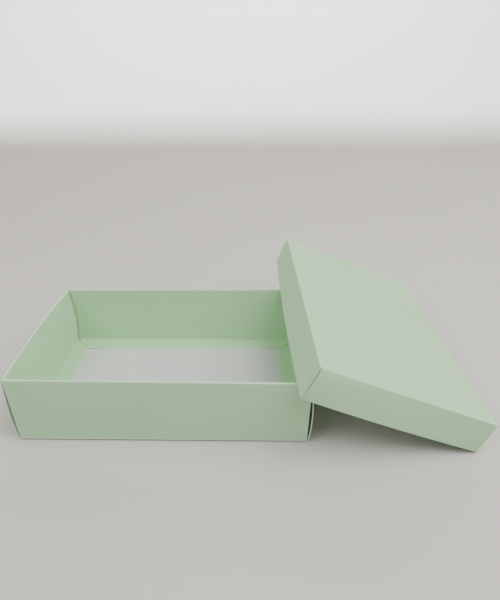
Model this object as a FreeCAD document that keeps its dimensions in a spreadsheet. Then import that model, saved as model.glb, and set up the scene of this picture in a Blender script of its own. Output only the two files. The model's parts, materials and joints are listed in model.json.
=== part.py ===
import FreeCAD, Part
import math
import os

import Sketcher
from FreeCAD import Placement, Rotation, Vector

# A two-piece gift box of folding card: an open base tray, and a shallower lid tray a little larger
# in plan. Each tray is one die-cut blank. Its outer walls fold up from the floor, roll over at the
# rim, come down inside as inner walls, and end in flanges that lie on the floor. A tab at each end
# of a long wall folds round the corner and is held between the plies of the short wall.
#
# Every panel between two creases is a sub-part of its own, because the creases are the hinges.
# The origin is the centre of the base's underside: X runs along its length and Y across it. The lid
# is turned a quarter turn and leans on the base, with one long rim on the base's front and back
# rims and the other long rim on the ground.

DIMENSIONS = {
    "card": (0.6, "thickness of the card"),
    "ply_gap": (0.1, "air between the plies of a wall"),
    "seam_gap": (0.3, "gap where two panels meet at a corner"),
    "crease_gap": (0.05, "gap at a flange's crease, and over and under a flange"),
    "bend_gap": (1.1, "bending card between a rim and its inner wall"),
    "base_length": (240, "outside length of the base"),
    "base_width": (150, "outside width of the base"),
    "base_height": (60, "outside height of the base"),
    "lid_length": (245, "outside length of the lid"),
    "lid_width": (155, "outside width of the lid"),
    "lid_height": (30, "outside height of the lid"),
    "flange_width": (16, "reach of a flange from its inner wall"),
    "flange_taper": (1.5, "how much a flange narrows at each end"),
    "flange_relief": (2.5, "gap from a long wall's flange to a short wall's"),
    "tab_length": (28, "reach of a corner tab along the short wall"),
    "tab_taper": (4, "how much a tab narrows at its top and bottom"),
    "tab_gap": (0.4, "gap above and below a corner tab"),
    "lid_inset": (8, "base's right side back to the lid's near corner"),
    "lid_overhang": (19.5, "base's front out to the lid's near corner"),
    "lid_yaw": (3.1, "turn of the lid away from square, in degrees"),
    "rest_gap": (0.05, "gap between the lid and what it rests on"),
}


class Size:
    """A number together with the spreadsheet expression that gives it."""

    def __init__(self, value, text):
        self.value = value
        self.text = text

    def __add__(self, other):
        return Size(self.value + other.value, f"({self.text} + {other.text})")

    def __sub__(self, other):
        return Size(self.value - other.value, f"({self.text} - {other.text})")

    def __mul__(self, factor):
        return Size(self.value * factor, f"({self.text} * {factor})")


doc = FreeCAD.newDocument("gift_box")
sheet = doc.addObject("Spreadsheet::Sheet", "Sizes")
size = {}
for row, (alias, (value, note)) in enumerate(DIMENSIONS.items(), start=1):
    sheet.set(f"A{row}", alias)
    sheet.set(f"B{row}", str(value))
    sheet.set(f"C{row}", note)
    sheet.setAlias(f"B{row}", alias)
    size[alias] = Size(value, f"Sizes.{alias}")
doc.recompute()

ZERO = Size(0, "0")
CLOCKWISE = -1
ANTICLOCKWISE = 1

card = size["card"]
tab_face = card + size["ply_gap"]
wall_thickness = card * 3 + size["ply_gap"] * 2
rim_radius = wall_thickness * 0.5
flange_bottom = card + size["crease_gap"]
crease_height = flange_bottom + card


def draw_edge(sketch, corner, after):
    """Add the line or arc that leaves a corner; return its index, first end and last end."""
    first = Vector(corner[0].value, corner[1].value, 0)
    last = Vector(after[0].value, after[1].value, 0)
    if len(corner) == 2:
        return sketch.addGeometry(Part.LineSegment(first, last)), 1, 2
    centre = Vector(corner[2].value, corner[3].value, 0)
    first_angle = math.atan2(first.y - centre.y, first.x - centre.x)
    last_angle = math.atan2(last.y - centre.y, last.x - centre.x)
    circle = Part.Circle(centre, Vector(0, 0, 1), (first - centre).Length)
    if corner[4] == ANTICLOCKWISE:
        return sketch.addGeometry(Part.ArcOfCircle(circle, first_angle, last_angle)), 1, 2
    return sketch.addGeometry(Part.ArcOfCircle(circle, last_angle, first_angle)), 2, 1


def pin_point(sketch, kind, edge, end, distance):
    """Hold one point of a sketch at a distance from the origin, along X or along Y."""
    if distance.value == 0:
        axis = -2 if kind == "DistanceX" else -1
        sketch.addConstraint(Sketcher.Constraint("PointOnObject", edge, end, axis))
        return
    index = sketch.addConstraint(Sketcher.Constraint(kind, -1, 1, edge, end, distance.value))
    sketch.setExpression(f"Constraints[{index}]", distance.text)


def pad_outline(body, name, plane, corners, start, end):
    """Pad a closed outline, drawn on one of the body's origin planes, from start to end.

    A corner is (x, y), or (x, y, centre x, centre y, turn) where the edge that leaves it is an arc.
    """
    sketch = body.newObject("Sketcher::SketchObject", f"{body.Name}_{name}_outline")
    origin_plane = next(item for item in body.Origin.OriginFeatures if item.Role == plane)
    sketch.AttachmentSupport = [(origin_plane, "")]
    sketch.MapMode = "FlatFace"
    sketch.setExpression("AttachmentOffset.Base.z", start.text)

    following = corners[1:] + corners[:1]
    edges = [draw_edge(sketch, corner, after) for corner, after in zip(corners, following)]
    for (edge, _, last), (after, first, _) in zip(edges, edges[1:] + edges[:1]):
        sketch.addConstraint(Sketcher.Constraint("Coincident", edge, last, after, first))
    for corner, (edge, first, _) in zip(corners, edges):
        pin_point(sketch, "DistanceX", edge, first, corner[0])
        pin_point(sketch, "DistanceY", edge, first, corner[1])
        if len(corner) > 2:
            pin_point(sketch, "DistanceY", edge, 3, corner[3])

    pad = body.newObject("PartDesign::Pad", f"{body.Name}_{name}")
    pad.Profile = sketch
    pad.setExpression("Length", (end - start).text)


def new_body(name):
    body = doc.addObject("PartDesign::Body", name)
    body.Label = name
    return body


def flat_panel(name, length, width):
    """The panel between the four bottom creases."""
    body = new_body(name)
    right = length - card
    back = width - card
    corners = [(card, card), (right, card), (right, back), (card, back)]
    pad_outline(body, "sheet", "XY_Plane", corners, ZERO, card)
    return body


# Each wall is drawn in a frame of its own: X along the wall, Y inwards from its outer face, and Z
# up from the underside of the floor.


def outer_wall(name, height, ends, rim_ends):
    """An outer wall with its rounded bottom fold, and the rim that it rolls into."""
    body = new_body(name)
    shoulder = height - rim_radius
    sheet_corners = [
        (card, ZERO, card, card, CLOCKWISE),
        (ZERO, card),
        (ZERO, shoulder),
        (card, shoulder),
    ]
    pad_outline(body, "sheet", "YZ_Plane", sheet_corners, *ends)
    rim_corners = [
        (ZERO, shoulder, rim_radius, shoulder, CLOCKWISE),
        (wall_thickness, shoulder),
        (wall_thickness - card, shoulder, rim_radius, shoulder, ANTICLOCKWISE),
        (card, shoulder),
    ]
    pad_outline(body, "rim", "YZ_Plane", rim_corners, *rim_ends)
    return body


def inner_wall(name, height, ends, foot_ends):
    """An inner wall. Its top stops short of the rim, and its foot is rounded about the crease.

    The foot runs only where the wall has a flange: past its ends the wall stops above the flanges
    of the walls beside it, so that it can swing over them.
    """
    body = new_body(name)
    top = height - rim_radius - size["bend_gap"]
    foot_top = crease_height + size["crease_gap"]
    outer_face = wall_thickness - card
    sheet_corners = [
        (wall_thickness, foot_top),
        (outer_face, foot_top),
        (outer_face, top),
        (wall_thickness, top),
    ]
    pad_outline(body, "sheet", "YZ_Plane", sheet_corners, *ends)
    foot_corners = [
        (wall_thickness, flange_bottom, wall_thickness, crease_height, CLOCKWISE),
        (outer_face, crease_height),
        (outer_face, foot_top),
        (wall_thickness, foot_top),
    ]
    pad_outline(body, "foot", "YZ_Plane", foot_corners, *foot_ends)
    return body


def flange(name, ends):
    """A flange that lies just above the floor and narrows a little towards its free edge."""
    body = new_body(name)
    start, end = ends
    near = wall_thickness + size["crease_gap"]
    far = wall_thickness + size["flange_width"]
    taper = size["flange_taper"]
    corners = [(start, near), (end, near), (end - taper, far), (start + taper, far)]
    pad_outline(body, "sheet", "XY_Plane", corners, flange_bottom, crease_height)
    return body


def corner_tab(name, length, height, at_start):
    """A tab at one end of a long wall: the corner's rounded fold, and the sheet behind it."""
    body = new_body(name)
    bottom = card + size["tab_gap"]
    top = height - rim_radius - size["tab_gap"]
    tip = size["tab_length"]
    taper = size["tab_taper"]
    outline = [(card, bottom), (tip, bottom + taper), (tip, top - taper), (card, top)]
    inside = tab_face + card
    if at_start:
        outer_x, inner_x, turn = tab_face, inside, CLOCKWISE
        sheet_ends = (outer_x, inner_x)
    else:
        outer_x, inner_x, turn = length - tab_face, length - inside, ANTICLOCKWISE
        sheet_ends = (inner_x, outer_x)
    fold_corners = [(inner_x, ZERO, inner_x, card, turn), (outer_x, card), (inner_x, card)]
    pad_outline(body, "fold", "XY_Plane", fold_corners, bottom, top)
    pad_outline(body, "sheet", "YZ_Plane", outline, *sheet_ends)
    return body


def wall_frames(length, width):
    """Each wall's name, length, neighbours at its start and end, and the place of its frame."""
    return [
        ("front", length, ("left", "right"), Vector(0, 0, 0), 0),
        ("right", width, ("front", "back"), Vector(length.value, 0, 0), 90),
        ("back", length, ("right", "left"), Vector(length.value, width.value, 0), 180),
        ("left", width, ("back", "front"), Vector(0, width.value, 0), 270),
    ]


def tray(name, panel_name, length, width, height, place):
    """All the panels of one tray, moved from the tray's own frame to their place in the box."""
    panel = flat_panel(f"{name}_{panel_name}", length, width)
    panel.Placement = place
    for side, run, neighbours, corner, angle in wall_frames(length, width):
        is_long = side in ("front", "back")
        fold = tab_face + card
        outer_inset = fold if is_long else size["seam_gap"]
        inner_inset = wall_thickness + size["seam_gap"]
        rim_inset = fold if is_long else inner_inset
        flange_inset = inner_inset
        if is_long:
            flange_inset = wall_thickness + size["flange_width"] + size["flange_relief"]
        pieces = [
            outer_wall(
                f"{name}_{side}_outer",
                height,
                (outer_inset, run - outer_inset),
                (rim_inset, run - rim_inset),
            ),
            inner_wall(
                f"{name}_{side}_inner",
                height,
                (inner_inset, run - inner_inset),
                (flange_inset, run - flange_inset),
            ),
            flange(f"{name}_{side}_flange", (flange_inset, run - flange_inset)),
        ]
        if is_long:
            for neighbour, at_start in zip(neighbours, (True, False)):
                tab_name = f"{name}_{side}_{neighbour}_tab"
                pieces.append(corner_tab(tab_name, run, height, at_start))
        wall_place = Placement(corner, Rotation(Vector(0, 0, 1), angle))
        for piece in pieces:
            piece.Placement = place.multiply(wall_place)


def base_place():
    """The base stands on the ground with its centre at the origin."""
    half_length = size["base_length"].value / 2
    half_width = size["base_width"].value / 2
    return Placement(Vector(-half_length, -half_width, 0), Rotation())


def lid_place():
    """The lid lies upside down and crosswise, and slopes from the base's rims to the ground.

    Both rims that carry it are round, with the same radius. So the slope follows from the drop
    between their centres, which is the base's height, and the distance between them.
    """
    radius = rim_radius.value
    drop = size["base_height"].value
    span = size["lid_width"].value - 2 * radius
    slope = math.asin(drop / span)
    yaw = Rotation(Vector(0, 0, 1), size["lid_yaw"].value)
    tilt = Rotation(Vector(0, 1, 0), math.degrees(slope))
    turned_over = Placement(
        Vector(0, 0, size["lid_height"].value),
        Rotation(Vector(1, 1, 0), 180),
    )
    rim_centre_rise = radius * (math.cos(slope) - math.sin(slope))
    corner = Vector(
        size["base_length"].value / 2 - size["lid_inset"].value,
        -size["base_width"].value / 2 - size["lid_overhang"].value,
        drop + radius + size["rest_gap"].value - rim_centre_rise,
    )
    return Placement(corner, yaw.multiply(tilt)).multiply(turned_over)


def check(bodies):
    """Stop unless every object is sound and every sub-part is one valid solid."""
    for item in doc.Objects:
        if "Invalid" in item.State or "Error" in item.State:
            raise RuntimeError(f"{item.Name} failed: {item.State}")
    for body in bodies:
        shape = body.Shape
        if shape.isNull() or not shape.isValid() or len(shape.Solids) != 1:
            raise RuntimeError(f"{body.Label} is not one valid solid")


tray("base", "floor", size["base_length"], size["base_width"], size["base_height"], base_place())
tray("lid", "top", size["lid_length"], size["lid_width"], size["lid_height"], lid_place())
doc.recompute()

bodies = [item for item in doc.Objects if item.TypeId == "PartDesign::Body"]
check(bodies)
os.makedirs("parts", exist_ok=True)
for body in bodies:
    body.Shape.exportStep(f"parts/{body.Label}.step")
print(len(bodies), "sub-parts,", round(sum(body.Shape.Volume for body in bodies)), "cubic mm of card")
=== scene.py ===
import json
import math

import bmesh
import bpy
import numpy as np
from mathutils import Matrix, Vector


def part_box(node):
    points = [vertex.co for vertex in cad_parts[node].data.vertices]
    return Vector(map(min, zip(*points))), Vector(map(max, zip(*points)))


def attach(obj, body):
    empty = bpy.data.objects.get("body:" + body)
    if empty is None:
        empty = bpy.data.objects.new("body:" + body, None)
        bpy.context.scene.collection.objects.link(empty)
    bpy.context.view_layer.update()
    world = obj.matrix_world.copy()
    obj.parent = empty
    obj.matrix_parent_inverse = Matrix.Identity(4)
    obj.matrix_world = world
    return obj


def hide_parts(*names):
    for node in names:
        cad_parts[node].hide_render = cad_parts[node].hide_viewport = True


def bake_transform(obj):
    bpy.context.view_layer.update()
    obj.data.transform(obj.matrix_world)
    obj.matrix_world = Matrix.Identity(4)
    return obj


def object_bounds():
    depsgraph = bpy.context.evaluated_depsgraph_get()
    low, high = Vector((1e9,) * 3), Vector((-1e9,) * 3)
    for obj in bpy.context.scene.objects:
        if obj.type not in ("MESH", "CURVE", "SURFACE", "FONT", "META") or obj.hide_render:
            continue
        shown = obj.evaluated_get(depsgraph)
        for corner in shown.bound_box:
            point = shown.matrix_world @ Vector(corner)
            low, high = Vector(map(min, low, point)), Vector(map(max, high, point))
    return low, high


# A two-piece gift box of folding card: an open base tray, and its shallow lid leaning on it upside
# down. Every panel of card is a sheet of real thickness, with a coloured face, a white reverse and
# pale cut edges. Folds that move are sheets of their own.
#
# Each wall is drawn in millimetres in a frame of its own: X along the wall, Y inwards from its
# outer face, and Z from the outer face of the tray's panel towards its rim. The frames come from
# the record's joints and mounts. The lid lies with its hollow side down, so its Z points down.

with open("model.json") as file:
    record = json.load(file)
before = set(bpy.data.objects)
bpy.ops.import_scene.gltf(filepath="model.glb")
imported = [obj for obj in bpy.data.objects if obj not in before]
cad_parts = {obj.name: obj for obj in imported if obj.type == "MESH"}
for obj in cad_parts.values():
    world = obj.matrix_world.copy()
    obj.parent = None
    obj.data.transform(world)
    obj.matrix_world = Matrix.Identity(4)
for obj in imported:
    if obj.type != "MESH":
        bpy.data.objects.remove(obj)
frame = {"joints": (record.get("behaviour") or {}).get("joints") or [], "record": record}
cad_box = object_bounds()

MM = 0.001
JOINTS = {joint["name"]: joint for joint in frame["joints"]}
MOUNTS = {mount["name"]: mount for mount in frame["record"]["mounts"]}
floor_low, floor_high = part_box("base_floor")

# Sizes of the card and its folds, in millimetres.
CARD = (floor_high.z - floor_low.z) / MM  # thickness
PLY_GAP = 0.1  # between the plies of a wall
SEAM_GAP = 0.3  # between edges that meet at a corner
FLAT_GAP = 0.05  # between a panel and the flange folded flat on it
FOLD_RADIUS = CARD + FLAT_GAP  # outer radius of a bottom fold
# The fine rows near the foot carry the bottom fold's wear and its painted highlight.
FOLD_BAND = 2.6  # height up to which an outer wall is meshed finely, for its fold's wear
CREASE_RADIUS = 0.25  # radius of the face at a flange's crease
BEND_GAP = 1.1  # height of the card that bends between a rim and its inner wall
CUT_BEVEL = 0.07  # width of the worn corner along a cut edge
LONG_RIM_INSET = 0.35  # how far the long rims stop from the tray's corners
RAISED_SLOT = 1.2  # gap at the ends of the lid's near wall, which stands off its corner
BACK_SNUG = 0.18  # how much closer than SEAM_GAP the base's back wall comes to the left one

# Flanges and tabs, in millimetres.
FLANGE_REACH = 16
FLANGE_TAPER = 1.5
FLANGE_RELIEF = 2.5  # between the ends of the lid's long flanges and its side flanges
MITRE_INSET = 3.3  # where the base's long flanges start at their crease
MITRE_RUN = 14.2  # and how much further in they start at their edge
EXTRA_REACH = {"base_right": (1.2, 2.6), "base_back": (0, 2.2), "lid_front": (-3, 0)}
LIFT_GAP = 0.08  # between a long flange and the side flange below it
LIFTED_TO = 18  # a long flange stays up on the side flange this far from the tray's corner,
DOWN_AT_CREASE = 27  # its crease is down on the floor from here on
DOWN_AT_EDGE = 40  # and its free edge from here on
SQUEEZE_TOP = 14  # heights between which an inner wall gives way to its lifted flange
SQUEEZE_FOOT = 2
TAB_REACH = 28
TAB_TAPER = 4
TAB_CLEARANCE = 0.4

# How far the card gives, in millimetres.
RIM_BOW = {"base_left": 2.3, "lid_left": 1.8, "lid_front": 2.4}
LONG_RIM_GROWTH = 1.2  # the power of its height by which a long wall's bow grows
BELLY = {  # how deep a short outer ply's belly is, and the share of it lost at mid-length
    "base_left": (2.5, 0.25),
    "base_right": (2.2, 0.25),
    "lid_left": (1.9, 0.6),
    "lid_right": (0.5, 0.4),
}
BACK_CORNER_SHARE = 0.25  # how much of its belly a base's short wall keeps at its back corner
LONG_BELLY = 0.3
INNER_BELLY = 0.25
LEFT_BULGE = 2.2
LEFT_BULGE_LENGTH = 0.62  # share of the wall's length along which its bulge fades
PANEL_DOME = 0.3
PANEL_RIPPLE = 0.12

# How worn the card is at its folds and edges, from 0 to 1, with a painted highlight at rims and
# bottom folds. FOLD_HEIGHT is where a bottom fold's wear and painted highlight peak, in millimetres.
PANEL_WEAR = {"base": 0.35, "lid": 0.04}
FOLD_WEAR_AND_HIGHLIGHT = {"base": 1.0, "lid": 0.03}
FOLD_HEIGHT = 0.9
RIM_WEAR_AND_HIGHLIGHT = 0.7
INNER_FOOT_WEAR = 0.25
CREASE_WEAR = 0.25
FLANGE_WEAR = 0.3
TAB_WEAR = 0.4

# Spacing of the points of the grids, in millimetres.
COLUMN_STEP = 4
WALL_STEP = 2.5
FOLD_STEP = 0.4
BEND_STEP = 0.3
PANEL_COLUMNS = 61
PANEL_ROWS = 39
SHARP_FROM = 40  # angle in degrees from which an edge between faces is shaded sharp

# Slots of a sheet's materials.
FACE = 0
REVERSE = 1
CUT = 2

# Colours of the card and the studio.
MINT = (0.430, 0.685, 0.398)
MINT_CLOUD = (0.457, 0.712, 0.426)
MINT_MOTTLE = (0.485, 0.735, 0.452)
MINT_FLECK = (0.60, 0.78, 0.57)
# Pale colour of worn card at folds, also used as a painted highlight along rims and bottom folds.
MINT_WEAR_AND_HIGHLIGHT = (0.80, 0.89, 0.77)
WHITE = (0.640, 0.642, 0.632)
WHITE_CLOUD = (0.668, 0.670, 0.660)
WHITE_SPECK = (0.56, 0.555, 0.54)
PULP = (0.60, 0.74, 0.56)
PULP_PALE = (0.70, 0.80, 0.66)
STUDIO = (0.62, 0.590, 0.550)
STUDIO_CLOUD = (0.64, 0.610, 0.570)


# ---------------------------------------------------------------------------------------------
# Trays and walls
# ---------------------------------------------------------------------------------------------


def in_mm(point):
    """A point in metres as an array in millimetres."""
    return np.array(point, float) / MM


class Wall:
    """One wall's frame and sizes, read from the hinge of its inner wall."""

    def __init__(self, tray, side):
        swing = in_mm(JOINTS[f"{tray.name}_{side}_inner_swing"]["pos_m"])
        fold = in_mm(JOINTS[f"{tray.name}_{side}_flange_fold"]["pos_m"])
        reach = tray.centre - swing
        reach = reach - (reach @ tray.up) * tray.up
        self.tray = tray
        self.side = side
        self.is_long = side in ("front", "back")
        self.inwards = reach / np.linalg.norm(reach)
        self.along = np.cross(self.inwards, tray.up)
        self.radius = (fold - swing) @ self.inwards
        self.height = (swing - tray.centre) @ tray.up + self.radius
        self.half_span = reach @ self.inwards + self.radius
        self.name = f"{tray.name}_{side}"

    def set_length(self, neighbour):
        """The wall's length is its neighbours' distance apart; its frame starts at its left end."""
        self.length = 2 * neighbour.half_span
        back = self.half_span * self.inwards + self.length / 2 * self.along
        self.start = self.tray.centre - back

    def to_row(self, points, outer=False):
        """Points of the wall's frame in the row frame, in metres, after the tray has splayed."""
        axes = np.array([self.along, self.inwards, self.tray.up])
        return self.tray.splayed(points @ axes + self.start, outer) * MM

    def point(self, x, y, z):
        """One point of the wall's frame in the row frame, in metres."""
        return Vector(self.to_row(np.array([[x, y, z]], float))[0])

    def body(self, part):
        """The body that the wall's tray, inner wall or flange rides on."""
        if part == "tray":
            return f"{self.tray.name}_tray"
        if part == "inner":
            return f"{self.name}_inner_wall"
        return f"{self.name}_{self.tray.ground}_flange"


class Tray:
    """A tray's four walls, and how far the foot and rim of its corners have moved out of square."""

    def __init__(self, name, ground, mount, corner_shift):
        self.name = name
        self.ground = ground
        self.centre = in_mm(MOUNTS[mount]["pos_m"])
        self.up = -np.array(MOUNTS[mount]["axis"], float)
        self.corner_shift = corner_shift
        self.walls = {side: Wall(self, side) for side in ("front", "right", "back", "left")}
        for wall in self.walls.values():
            wall.set_length(self.walls["right" if wall.is_long else "front"])

    def splayed(self, points, outer):
        """Points in millimetres, moved with the corners' rims, and outer plies with their feet too."""
        front = self.walls["front"]
        offset = points - front.start
        across = np.clip(offset @ front.along / front.length, 0, 1)[:, None]
        deep = np.clip(offset @ front.inwards / self.walls["right"].length, 0, 1)[:, None]
        rise = np.clip(offset @ self.up / front.height, 0, 1)[:, None]
        share = {
            "front_left": (1 - across) * (1 - deep),
            "front_right": across * (1 - deep),
            "back_right": across * deep,
            "back_left": (1 - across) * deep,
        }
        axes = np.array([front.along, front.inwards, self.up])
        moved = points.copy()
        for corner, (foot, rim) in self.corner_shift.items():
            shift = rise * np.array(rim)
            if outer:
                shift = shift + (1 - rise) * np.array(foot)
            moved += share[corner] * (shift @ axes)
        return moved


# ---------------------------------------------------------------------------------------------
# Sheets of card
# ---------------------------------------------------------------------------------------------


def ramp(value, zero_at, one_at):
    """An S curve from 0 to 1 between two values, and level beyond them."""
    share = np.clip((value - zero_at) / (one_at - zero_at), 0, 1)
    return share * share * (3 - 2 * share)


def near(distance, width):
    """1 on a fold or edge, fading to 0 a few widths away."""
    return np.exp(-((distance / width) ** 2))


def arc(centre, radius, first, last, count):
    """Points (y, z) on an arc between two angles in degrees."""
    angles = np.radians(np.linspace(first, last, count))
    return [(centre[0] + radius * math.cos(a), centre[1] + radius * math.sin(a)) for a in angles]


def run(first, last, spacing):
    """Points (y, z) along a straight stretch, without its first one."""
    first = np.array(first, float)
    last = np.array(last, float)
    count = max(1, round(np.linalg.norm(last - first) / spacing))
    return [tuple(first + (last - first) * i / count) for i in range(1, count + 1)]


def swept(profile, ends, columns):
    """A grid of points: each (y, z) of a profile, carried along X between its row's ends."""
    grid = np.zeros((len(profile), columns, 3))
    for row, (y, z) in enumerate(profile):
        start, end = ends[row] if isinstance(ends, list) else ends
        grid[row, :, 0] = np.linspace(start, end, columns)
        grid[row, :, 1] = y
        grid[row, :, 2] = z
    return grid


def add_grid(bm, layer, grid, wear):
    """The vertices of a grid, with the card's wear and painted highlight at each."""
    rows = []
    for points, values in zip(grid, wear):
        row = [bm.verts.new(point) for point in points]
        for vert, value in zip(row, values):
            vert[layer] = value
        rows.append(row)
    return rows


def add_quads(bm, rows, material):
    """The faces between the rows of a grid of vertices."""
    for low, high in zip(rows, rows[1:]):
        for a, b, c, d in zip(low, low[1:], high[1:], high):
            bm.faces.new((a, b, c, d)).material_index = material


def border(rows, side):
    """The vertices along one side of a grid: F first row, L last row, S start and E end columns."""
    if side == "F":
        return rows[0]
    if side == "L":
        return rows[-1]
    column = 0 if side == "S" else -1
    return [row[column] for row in rows]


def card_sheet(name, face, back, wear, cut, wall, outer=False):
    """A closed sheet of card between two grids of points; the sides named in cut get worn edges."""
    bm = bmesh.new()
    layer = bm.verts.layers.float.new("wear")
    face_rows = add_grid(bm, layer, face, wear)
    back_rows = add_grid(bm, layer, back, wear)
    add_quads(bm, face_rows, FACE)
    add_quads(bm, back_rows, REVERSE)
    worn = []
    for side in "FLSE":
        line = border(face_rows, side)
        under = border(back_rows, side)
        add_quads(bm, [line, under], CUT)
        if side in cut:
            for verts in (line, under):
                worn += [bm.edges.get(pair) for pair in zip(verts, verts[1:])]
    bmesh.ops.recalc_face_normals(bm, faces=bm.faces)
    if worn:
        bmesh.ops.bevel(
            bm,
            geom=worn,
            offset=CUT_BEVEL,
            offset_type="OFFSET",
            segments=2,
            profile=0.5,
            affect="EDGES",
            clamp_overlap=True,
            material=CUT,
        )
    placed = wall.to_row(np.array([vert.co for vert in bm.verts]), outer)
    for vert, point in zip(bm.verts, placed):
        vert.co = point
    mesh = bpy.data.meshes.new(name)
    bm.to_mesh(mesh)
    bm.free()
    mesh.polygons.foreach_set("use_smooth", [True] * len(mesh.polygons))
    mesh.set_sharp_from_angle(angle=math.radians(SHARP_FROM))
    for material in CARD_MATERIALS:
        mesh.materials.append(material)
    piece = bpy.data.objects.new(name, mesh)
    bpy.context.scene.collection.objects.link(piece)
    return piece


# ---------------------------------------------------------------------------------------------
# Materials
# ---------------------------------------------------------------------------------------------


class Nodes:
    """A short way to build a material's node tree."""

    def __init__(self, name):
        self.material = bpy.data.materials.new(name)
        self.material.use_nodes = True
        self.tree = self.material.node_tree
        self.tree.nodes.clear()
        output = self.add("ShaderNodeOutputMaterial")
        self.shader = self.add("ShaderNodeBsdfPrincipled")
        self.link(self.shader.outputs["BSDF"], output.inputs["Surface"])
        self.place = self.add("ShaderNodeTexCoord").outputs["Object"]

    def add(self, kind, **settings):
        node = self.tree.nodes.new(kind)
        for key, value in settings.items():
            setattr(node, key, value)
        return node

    def link(self, output, socket):
        self.tree.links.new(output, socket)

    def noise(self, scale, detail=2.0, roughness=0.5, stretch=None, distortion=0.0):
        """Noise, from 0 to 1, with its scale in features a metre."""
        node = self.add("ShaderNodeTexNoise")
        node.inputs["Scale"].default_value = scale
        node.inputs["Detail"].default_value = detail
        node.inputs["Roughness"].default_value = roughness
        node.inputs["Distortion"].default_value = distortion
        source = self.place
        if stretch:
            mapping = self.add("ShaderNodeMapping")
            mapping.inputs["Scale"].default_value = stretch
            self.link(source, mapping.inputs["Vector"])
            source = mapping.outputs["Vector"]
        self.link(source, node.inputs["Vector"])
        return node.outputs["Fac"]

    def spread(self, value, low, high, new_low=0.0, new_high=1.0):
        """A value's range, stretched to a new one and cut off at its ends."""
        node = self.add("ShaderNodeMapRange")
        node.inputs["From Min"].default_value = low
        node.inputs["From Max"].default_value = high
        node.inputs["To Min"].default_value = new_low
        node.inputs["To Max"].default_value = new_high
        self.link(value, node.inputs["Value"])
        return node.outputs["Result"]

    def maths(self, operation, first, second):
        """One operation on two values; each is a number or another node's output."""
        node = self.add("ShaderNodeMath", operation=operation)
        for socket, value in zip(node.inputs, (first, second)):
            if isinstance(value, (int, float)):
                socket.default_value = value
            else:
                self.link(value, socket)
        return node.outputs["Value"]

    def mix(self, factor, first, second):
        """Two colours mixed; each is a colour or another node's output."""
        node = self.add("ShaderNodeMix", data_type="RGBA")
        sockets = [socket for socket in node.inputs if socket.type == "RGBA"]
        self.link(factor, node.inputs[0])
        for socket, value in zip(sockets, (first, second)):
            if isinstance(value, tuple):
                socket.default_value = (*value, 1)
            else:
                self.link(value, socket)
        return next(socket for socket in node.outputs if socket.type == "RGBA")

    def bump(self, height, distance, strength=1.0, after=None):
        """A normal roughened by a height, on top of another bump if there is one."""
        node = self.add("ShaderNodeBump")
        node.inputs["Strength"].default_value = strength
        node.inputs["Distance"].default_value = distance
        self.link(height, node.inputs["Height"])
        if after:
            self.link(after, node.inputs["Normal"])
        return node.outputs["Normal"]

    def attribute(self, name):
        """A value stored on the mesh's vertices."""
        node = self.add("ShaderNodeAttribute", attribute_name=name)
        return node.outputs["Fac"]


def paper_surface(nodes, colour, roughness, grain):
    """What every face of the card shares: its fibre grain, its roughness and its specular level."""
    fibres = nodes.noise(1500, detail=4, roughness=0.65, distortion=1.5)
    felt = nodes.noise(260, detail=3, roughness=0.55)
    sheen = nodes.noise(35, detail=2)
    nodes.link(colour, nodes.shader.inputs["Base Color"])
    rough = nodes.spread(sheen, 0.3, 0.7, roughness - 0.05, roughness + 0.05)
    nodes.link(rough, nodes.shader.inputs["Roughness"])
    nodes.shader.inputs["Specular IOR Level"].default_value = 0.3
    coarse = nodes.bump(felt, 0.00009 * grain, 0.35)
    fine = nodes.bump(fibres, 0.00005 * grain, 0.5, after=coarse)
    nodes.link(fine, nodes.shader.inputs["Normal"])


def mint_face():
    """The coloured face: even, with a faint cloudiness and fibres, and paler at folds, from wear and a
    painted highlight.
    """
    nodes = Nodes("mint_card_face")
    clouds = nodes.spread(nodes.noise(9, detail=3), 0.35, 0.65)
    mottle = nodes.spread(nodes.noise(120, detail=3, roughness=0.6), 0.3, 0.7)
    fleck = nodes.spread(nodes.noise(2100, detail=2, roughness=0.7), 0.58, 0.78)
    colour = nodes.mix(clouds, MINT, MINT_CLOUD)
    colour = nodes.mix(nodes.maths("MULTIPLY", mottle, 0.35), colour, MINT_MOTTLE)
    colour = nodes.mix(nodes.maths("MULTIPLY", fleck, 0.22), colour, MINT_FLECK)
    # The vertex value mixes in the pale colour: wear at folds, and a painted highlight along rims and
    # bottom folds.
    scuffs = nodes.spread(nodes.noise(420, detail=4, roughness=0.7), 0.32, 0.68, 0.45, 1.0)
    worn = nodes.maths("MULTIPLY", nodes.attribute("wear"), scuffs)
    colour = nodes.mix(worn, colour, MINT_WEAR_AND_HIGHLIGHT)
    paper_surface(nodes, colour, 0.72, 1.0)
    return nodes.material


def white_reverse():
    """The uncoated white reverse: a little grey and speckled, with a coarser grain."""
    nodes = Nodes("white_card_reverse")
    clouds = nodes.spread(nodes.noise(14, detail=3), 0.3, 0.7)
    speck = nodes.spread(nodes.noise(900, detail=3, roughness=0.7), 0.6, 0.75)
    colour = nodes.mix(clouds, WHITE, WHITE_CLOUD)
    colour = nodes.mix(nodes.maths("MULTIPLY", speck, 0.35), colour, WHITE_SPECK)
    paper_surface(nodes, colour, 0.85, 1.5)
    return nodes.material


def cut_edge():
    """The raw edge of the card: pale pulp in layers, torn a little by the die."""
    nodes = Nodes("card_cut_edge")
    pulp = nodes.spread(nodes.noise(1300, detail=4, roughness=0.7), 0.3, 0.7)
    colour = nodes.mix(pulp, PULP, PULP_PALE)
    paper_surface(nodes, colour, 0.9, 2.0)
    return nodes.material


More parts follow.
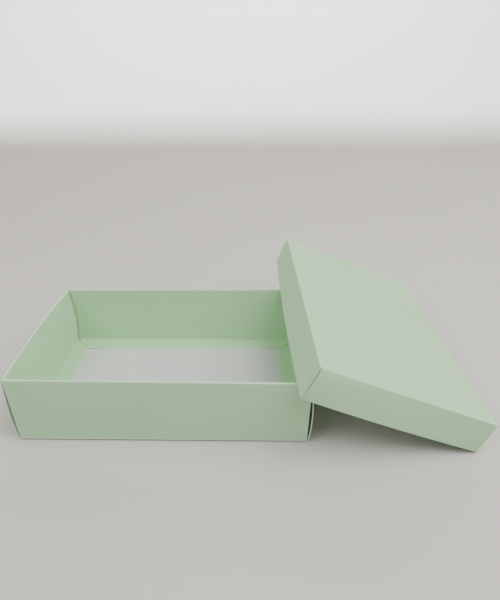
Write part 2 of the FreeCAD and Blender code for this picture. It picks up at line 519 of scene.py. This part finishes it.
def studio_surface():
    """The plain pale floor and backdrop."""
    nodes = Nodes("studio_floor")
    shade = nodes.spread(nodes.noise(3, detail=2), 0.3, 0.7)
    colour = nodes.mix(shade, STUDIO, STUDIO_CLOUD)
    nodes.link(colour, nodes.shader.inputs["Base Color"])
    nodes.shader.inputs["Roughness"].default_value = 0.8
    nodes.shader.inputs["Specular IOR Level"].default_value = 0.2
    return nodes.material


CARD_MATERIALS = [mint_face(), white_reverse(), cut_edge()]


# ---------------------------------------------------------------------------------------------
# How the folded card gives
# ---------------------------------------------------------------------------------------------


def rim_bow(wall, rise, across):
    """How far a wall bows outwards, most at the middle of its rim, in millimetres."""
    growth = LONG_RIM_GROWTH if wall.is_long else 1
    return RIM_BOW.get(wall.name, 0) * np.sin(math.pi * across) * rise**growth


def belly_share(wall, across):
    """How much of its belly a short outer wall has along its length, from 0 to 1."""
    if wall.name == "base_left":
        return BACK_CORNER_SHARE + (1 - BACK_CORNER_SHARE) * ramp(across, 0, 0.8)
    if wall.name == "base_right":
        return BACK_CORNER_SHARE + (1 - BACK_CORNER_SHARE) * ramp(across, 1, 0.2)
    if wall.name == "lid_left":
        return ramp(across, 0.15, 0.85)
    return 1


def give_of_outer(wall, x, z):
    """How far an outer wall stands out from its plane, in millimetres."""
    rise = np.clip(z / wall.height, 0, 1)
    across = x / wall.length
    bow = np.sin(math.pi * across)
    if wall.name in BELLY:
        depth, lost = BELLY[wall.name]
        belly = depth * np.sin(math.pi * rise**0.7) * (1 - lost * bow)
        return belly * belly_share(wall, across) + rim_bow(wall, rise, across)
    if wall.name in RIM_BOW:
        return rim_bow(wall, rise, across)
    return LONG_BELLY * bow * np.sin(math.pi * rise)


def give_of_inner(wall, x, z):
    """How far an inner wall stands in from its plane, in millimetres."""
    rise = np.clip(z / wall.height, 0, 1)
    across = x / wall.length
    if wall.name == "base_left":
        return bulge_of_left_wall(rise, across) - rim_bow(wall, rise, across)
    if wall.name in RIM_BOW:
        return -rim_bow(wall, rise, across)
    return INNER_BELLY * np.sin(math.pi * across) * np.sin(math.pi * rise) ** 2


def bulge_of_left_wall(rise, across):
    """The bulge of the base's left inner wall, strongest at the back corner."""
    profile = np.sin(math.pi * rise**0.95) ** 1.3
    return LEFT_BULGE * profile * ramp(across, LEFT_BULGE_LENGTH, 0)


def overlaps_side_flanges(wall):
    """Whether the wall's flange lies over the flanges beside it."""
    return wall.is_long and wall.tray.name == "base"


def flange_lift(wall, x, reach):
    """How far a long wall's flange is held up by the side flanges below it, in millimetres."""
    if not overlaps_side_flanges(wall):
        return np.zeros_like(x)
    inset = np.minimum(x, wall.length - x)
    at_crease = ramp(inset, DOWN_AT_CREASE, LIFTED_TO)
    at_edge = ramp(inset, DOWN_AT_EDGE, LIFTED_TO)
    return (CARD + LIFT_GAP) * (at_crease * (1 - reach) + at_edge * reach)


# ---------------------------------------------------------------------------------------------
# Pieces
# ---------------------------------------------------------------------------------------------


def columns_for(wall):
    """How many columns a wall's grids have."""
    return round(wall.length / COLUMN_STEP) + 1


def finish_piece(node=None):
    """Hides the CAD node that a piece stands for, if there is one."""
    if node:
        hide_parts(node)


def panel(tray, node):
    """The panel between the four bottom folds, doming inwards a little, with its face outside."""
    front = tray.walls["front"]
    length = front.length
    width = tray.walls["right"].length
    inset = FOLD_RADIUS
    xs = np.linspace(inset, length - inset, PANEL_COLUMNS)
    ys = np.linspace(inset, width - inset, PANEL_ROWS)
    grid_x, grid_y = np.meshgrid(xs, ys)
    dome = np.sin(math.pi * grid_x / length) * np.sin(math.pi * grid_y / width)
    wave = np.sin(grid_x / 31 + 1) * np.sin(grid_y / 23 + 2)
    rise = PANEL_DOME * dome + PANEL_RIPPLE * wave * dome**0.5
    face = np.stack([grid_x, grid_y, rise], axis=-1)
    back = np.stack([grid_x, grid_y, rise + CARD], axis=-1)
    border_gap = np.minimum(
        np.minimum(grid_x - inset, length - inset - grid_x),
        np.minimum(grid_y - inset, width - inset - grid_y),
    )
    wear = PANEL_WEAR[tray.name] * near(border_gap, 0.8)
    piece = card_sheet(f"{tray.name}_panel", face, back, wear, "", front, outer=True)
    finish_piece(node)
    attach(piece, f"{tray.name}_tray")


def outer_wall(wall):
    """An outer wall, from its bottom fold to the top of its rim."""
    fold = FOLD_RADIUS
    radius = wall.radius
    shoulder = wall.height - radius
    foot = (fold, fold)
    roll = (radius, shoulder)
    inner = radius - CARD
    face_profile = (
        arc(foot, fold, 270, 180, 7)
        + run((0, fold), (0, FOLD_BAND), FOLD_STEP)
        + run((0, FOLD_BAND), (0, shoulder), WALL_STEP)
        + arc(roll, radius, 180, 90, 9)[1:]
    )
    back_profile = (
        arc(foot, fold - CARD, 270, 180, 7)
        + run((CARD, fold), (CARD, FOLD_BAND), FOLD_STEP)
        + run((CARD, FOLD_BAND), (CARD, shoulder), WALL_STEP)
        + arc(roll, inner, 180, 90, 9)[1:]
    )
    sheet_inset = CARD + PLY_GAP + fold if wall.is_long else corner_slot(wall)
    ends = []
    for _, z in face_profile:
        inset = sheet_inset if z <= shoulder else rim_inset(wall)
        ends.append((inset, wall.length - inset))
    columns = columns_for(wall)
    face = swept(face_profile, ends, columns)
    back = swept(back_profile, ends, columns)
    height = face[..., 2]
    # A pale line just above the bottom fold: wear, and a painted highlight.
    wear = FOLD_WEAR_AND_HIGHLIGHT[wall.tray.name] * near(height - FOLD_HEIGHT, 0.7)
    # A pale band along the top of the rim: wear, and a painted highlight.
    wear = wear + RIM_WEAR_AND_HIGHLIGHT * near(height - wall.height, 0.5)
    for grid in (face, back):
        grid[..., 1] -= give_of_outer(wall, grid[..., 0], height)
    cut = "" if wall.is_long else "SE"
    piece = card_sheet(f"{wall.name}_outer_wall", face, back, wear, cut, wall, outer=True)
    finish_piece(f"{wall.name}_outer")
    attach(piece, wall.body("tray"))


def corner_slot(wall):
    """How far a short wall's outer ply stops from the corners that the long walls fold round."""
    return RAISED_SLOT if wall.name == "lid_left" else SEAM_GAP


def rim_inset(wall):
    """How far a rim stops from the tray's corners: the long rims run through, over the short walls."""
    return LONG_RIM_INSET if wall.is_long else 2 * wall.radius + SEAM_GAP


def rim_roll(wall):
    """The card from the top of the rim down to the inner wall."""
    radius = wall.radius
    shoulder = wall.height - radius
    roll = (radius, shoulder)
    low = shoulder - BEND_GAP
    inside = 2 * radius
    inner = radius - CARD
    behind = inside - CARD
    face_profile = arc(roll, radius, 90, 0, 9)
    face_profile += run((inside, shoulder), (inside, low), BEND_STEP)
    back_profile = arc(roll, inner, 90, 0, 9)
    back_profile += run((behind, shoulder), (behind, low), BEND_STEP)
    inner_inset = inside + SEAM_GAP
    ends = []
    for _, z in face_profile:
        sunk = float(ramp(z, wall.height, shoulder))
        inset = rim_inset(wall) + (inner_inset - rim_inset(wall)) * sunk
        ends.append((inset, wall.length - inset))
    columns = columns_for(wall)
    face = swept(face_profile, ends, columns)
    back = swept(back_profile, ends, columns)
    # A pale band along the top of the rim: wear, and a painted highlight.
    wear = RIM_WEAR_AND_HIGHLIGHT * near(face[..., 2] - wall.height, 0.5)
    part = ramp(face[..., 1], radius, inside)
    out = give_of_outer(wall, face[..., 0], face[..., 2])
    give = give_of_inner(wall, face[..., 0], face[..., 2]) * part - out * (1 - part)
    for grid in (face, back):
        grid[..., 1] += give
    piece = card_sheet(f"{wall.name}_rim", face, back, wear, "SE", wall)
    finish_piece()
    middle = wall.length / 2
    # The left rim has moved out past its hinge, so its point is taken at the foot of its roll.
    top = shoulder if wall.name == "base_left" else wall.height
    start = wall.point(middle, radius, top)
    wall.body("tray")
    wall.body("inner")
    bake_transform(piece)


def inner_wall(wall):
    """An inner wall, from below its rim to its foot."""
    inside = 2 * wall.radius
    top = wall.height - wall.radius - BEND_GAP
    foot = 2 * CARD + FLAT_GAP + CREASE_RADIUS
    face_profile = [(inside, top)] + run((inside, top), (inside, foot), WALL_STEP)
    back_profile = [(inside - CARD, z) for _, z in face_profile]
    inset = inside + SEAM_GAP
    ends = []
    for _, z in face_profile:
        pushed = 0
        if wall.name == "base_back":
            pushed = bulge_of_left_wall(z / wall.height, 0) - BACK_SNUG
        ends.append((inset, wall.length - inset - pushed))
    columns = columns_for(wall)
    face = swept(face_profile, ends, columns)
    back = swept(back_profile, ends, columns)
    for grid in (face, back):
        squeeze = ramp(grid[..., 2], SQUEEZE_TOP, SQUEEZE_FOOT)
        grid[..., 2] += flange_lift(wall, grid[..., 0], 0) * squeeze
        grid[..., 1] += give_of_inner(wall, grid[..., 0], grid[..., 2])
    wear = INNER_FOOT_WEAR * near(face[..., 2] - foot, 0.8)
    piece = card_sheet(f"{wall.name}_inner_wall_sheet", face, back, wear, "SE", wall)
    finish_piece(f"{wall.name}_inner")
    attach(piece, wall.body("inner"))


def flange_ends(wall, reach):
    """Where a flange starts and ends along its wall, at a share of its reach."""
    if overlaps_side_flanges(wall):
        inset = MITRE_INSET + MITRE_RUN * reach
    elif wall.is_long:
        inset = 2 * wall.radius + FLANGE_REACH + FLANGE_RELIEF + FLANGE_TAPER * reach
    else:
        inset = 2 * wall.radius + SEAM_GAP + FLANGE_TAPER * reach
    return inset, wall.length - inset


def crease(wall):
    """The fold between an inner wall and its flange."""
    inside = 2 * wall.radius
    bottom = CARD + FLAT_GAP
    centre = (inside + CREASE_RADIUS, bottom + CARD + CREASE_RADIUS)
    face_profile = arc(centre, CREASE_RADIUS, 180, 270, 6)
    back_profile = arc(centre, CREASE_RADIUS + CARD, 180, 270, 6)
    ends = flange_ends(wall, 0)
    columns = columns_for(wall)
    face = swept(face_profile, ends, columns)
    back = swept(back_profile, ends, columns)
    for grid in (face, back):
        grid[..., 2] += flange_lift(wall, grid[..., 0], 0)
    wear = np.full(face.shape[:2], CREASE_WEAR)
    piece = card_sheet(f"{wall.name}_crease", face, back, wear, "SE", wall)
    finish_piece()
    middle = wall.length / 2
    start = wall.point(middle, inside - CARD, centre[1])
    end = wall.point(middle, centre[0], bottom)
    wall.body("inner")
    wall.body("flange")
    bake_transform(piece)


def flange_reach(wall, x):
    """How wide a flange is along its wall: two of the base's are cut a little askew."""
    extra, growth = EXTRA_REACH.get(wall.name, (0, 0))
    return FLANGE_REACH + extra + growth * x / wall.length


def flange(wall):
    """A flange on its tray's panel; the base's long ones lie over the flanges beside them."""
    near_edge = 2 * wall.radius + CREASE_RADIUS
    rows = 13
    columns = columns_for(wall)
    face = np.zeros((rows, columns, 3))
    for row, share in enumerate(np.linspace(0, 1, rows)):
        start, end = flange_ends(wall, share)
        xs = np.linspace(start, end, columns)
        face[row, :, 0] = xs
        face[row, :, 1] = near_edge + (flange_reach(wall, xs) - CREASE_RADIUS) * share
        face[row, :, 2] = 2 * CARD + FLAT_GAP + flange_lift(wall, xs, share)
    back = face.copy()
    back[..., 2] -= CARD
    edge_gap = face[-1, :, 1] - face[..., 1]
    wear = FLANGE_WEAR * near(edge_gap, 0.5)
    piece = card_sheet(f"{wall.name}_flange_sheet", face, back, wear, "L", wall)
    finish_piece(f"{wall.name}_flange")
    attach(piece, wall.body("flange"))


def corner_tab(wall, neighbour, at_start):
    """A tab that folds round the corner from a long wall and lies between the short wall's plies."""
    fold = FOLD_RADIUS
    outside = CARD + PLY_GAP
    bottom = CARD + TAB_CLEARANCE
    top = wall.height - wall.radius - TAB_CLEARANCE
    centre = (outside + fold, fold)
    inner = outside + CARD
    face_plan = arc(centre, fold, 270, 180, 6)
    face_plan += run((outside, fold), (outside, TAB_REACH), COLUMN_STEP)
    back_plan = arc(centre, fold - CARD, 270, 180, 6)
    back_plan += run((inner, fold), (inner, TAB_REACH), COLUMN_STEP)
    rows = 9
    beside = wall.tray.walls[neighbour]

    def stand(plan):
        """A grid of the tab's points, standing on a plan of it; the side wall's bow pushes it out."""
        grid = np.zeros((rows, len(plan), 3))
        for column, (x, y) in enumerate(plan):
            taper = TAB_TAPER * float(np.clip((y - fold) / (TAB_REACH - fold), 0, 1))
            z = np.linspace(bottom + taper, top - taper, rows)
            along = beside.length - y if at_start else y
            pushed = np.minimum(give_of_inner(beside, along, z), 0)
            grid[:, column, 0] = x + pushed if at_start else wall.length - x - pushed
            grid[:, column, 1] = y
            grid[:, column, 2] = z
        return grid

    face = stand(face_plan)
    back = stand(back_plan)
    wear = TAB_WEAR * near(face[..., 1], 0.6)
    name = f"{wall.name}_{neighbour}_tab"
    piece = card_sheet(f"{name}_sheet", face, back, wear, "FLE", wall, outer=True)
    finish_piece(name)
    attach(piece, wall.body("tray"))


def card_tray(tray, node):
    """All the pieces of one tray."""
    panel(tray, node)
    for side, wall in tray.walls.items():
        outer_wall(wall)
        rim_roll(wall)
        inner_wall(wall)
        crease(wall)
        flange(wall)
        if wall.is_long:
            neighbours = ("left", "right") if side == "front" else ("right", "left")
            for neighbour, at_start in zip(neighbours, (True, False)):
                corner_tab(wall, neighbour, at_start)


# ---------------------------------------------------------------------------------------------
# Studio
# ---------------------------------------------------------------------------------------------


def studio_floor():
    """A pale floor that sweeps up into a backdrop far behind the box.

    It lies a little below the box, for the thin dark line along the box's foot.
    """
    low, high = cad_box
    middle = (low + high) / 2
    level = -1.3 * MM
    half_width = 4.0
    front = middle.y - 3.0
    bend = middle.y + 2.2
    sweep = 0.8
    top = 4.0
    profile = [(y, level) for y in np.linspace(front, bend, 13)]
    for step in range(1, 17):
        angle = math.radians(90 * step / 16)
        profile.append((bend + sweep * math.sin(angle), level + sweep * (1 - math.cos(angle))))
    profile.append((bend + sweep, top))
    bm = bmesh.new()
    rows = []
    for y, z in profile:
        xs = np.linspace(middle.x - half_width, middle.x + half_width, 9)
        rows.append([bm.verts.new((x, y, z)) for x in xs])
    add_quads(bm, rows, 0)
    bmesh.ops.recalc_face_normals(bm, faces=bm.faces)
    mesh = bpy.data.meshes.new("studio_floor")
    bm.to_mesh(mesh)
    bm.free()
    mesh.polygons.foreach_set("use_smooth", [True] * len(mesh.polygons))
    mesh.materials.append(studio_surface())
    floor = bpy.data.objects.new("studio_floor", mesh)
    bpy.context.scene.collection.objects.link(floor)


def area_light(name, place, target, size, power, colour):
    """A rectangular light of a size in metres and a power in watts, aimed at a target."""
    data = bpy.data.lights.new(name, "AREA")
    data.shape = "RECTANGLE"
    data.size, data.size_y = size
    data.energy = power
    data.color = colour
    light = bpy.data.objects.new(name, data)
    light.location = place
    light.rotation_mode = "QUATERNION"
    light.rotation_quaternion = (Vector(target) - Vector(place)).to_track_quat("-Z", "Y")
    bpy.context.scene.collection.objects.link(light)


def studio_light():
    """A soft key above on the lid's side, a weak fill, a lit backdrop and a pale surround."""
    world = bpy.data.worlds.new("studio")
    world.use_nodes = True
    background = world.node_tree.nodes["Background"]
    background.inputs["Color"].default_value = (0.95, 0.97, 1.0, 1)
    background.inputs["Strength"].default_value = 0.4
    bpy.context.scene.world = world
    centre = (0.05, 0.0, 0.0)
    area_light("key", (0.90, -0.33, 1.38), centre, (1.4, 1.4), 30, (1.0, 0.99, 0.97))
    area_light("fill", (-0.90, -0.62, 1.28), centre, (1.2, 0.8), 9.5, (1.0, 0.99, 0.975))
    area_light("backdrop", (0.0, 1.3, 1.5), (0.0, 3.0, 1.2), (4.0, 1.0), 260, (1.0, 1.0, 1.0))


def camera():
    """The camera, in front of the box and above it, looking down at it."""
    place = (0.0816, -0.3821, 0.3023)
    pitch = math.radians(-28.94)
    yaw = math.radians(-1.50)
    roll = math.radians(-0.59)
    data = bpy.data.cameras.new("camera")
    data.sensor_width = 36
    data.lens = 30.07
    data.clip_start = 0.02
    data.clip_end = 50
    viewer = bpy.data.objects.new("camera", data)
    forward = Vector(
        (math.sin(yaw) * math.cos(pitch), math.cos(yaw) * math.cos(pitch), math.sin(pitch))
    )
    level = Vector((math.cos(yaw), -math.sin(yaw), 0))
    above = level.cross(forward)
    right = math.cos(roll) * level + math.sin(roll) * above
    up = -math.sin(roll) * level + math.cos(roll) * above
    turn = Matrix((right, up, -forward)).transposed()
    viewer.matrix_world = Matrix.Translation(place) @ turn.to_4x4()
    bpy.context.scene.collection.objects.link(viewer)
    bpy.context.scene.camera = viewer


# How far the foot and rim of each corner have moved, in millimetres along the tray's length, its
# width and its height.
SQUARE = (0, 0, 0)
BASE_SPLAY = {
    "front_left": ((0, -1, 0), (-2.2, 0.2, 0)),
    "front_right": ((0, -1, 0), (2.0, -1.8, 0)),
    "back_right": (SQUARE, (1.6, 3.2, 1.3)),
    "back_left": (SQUARE, (-1.2, 2.4, 0.5)),
}
LID_SPLAY = {"front_left": (SQUARE, (-1.6, -2.7, 0))}
base = Tray("base", "floor", "base_underside", BASE_SPLAY)
lid = Tray("lid", "top", "lid_top_face", LID_SPLAY)
card_tray(base, "base_floor")
card_tray(lid, "lid_top")
studio_floor()
studio_light()
camera()
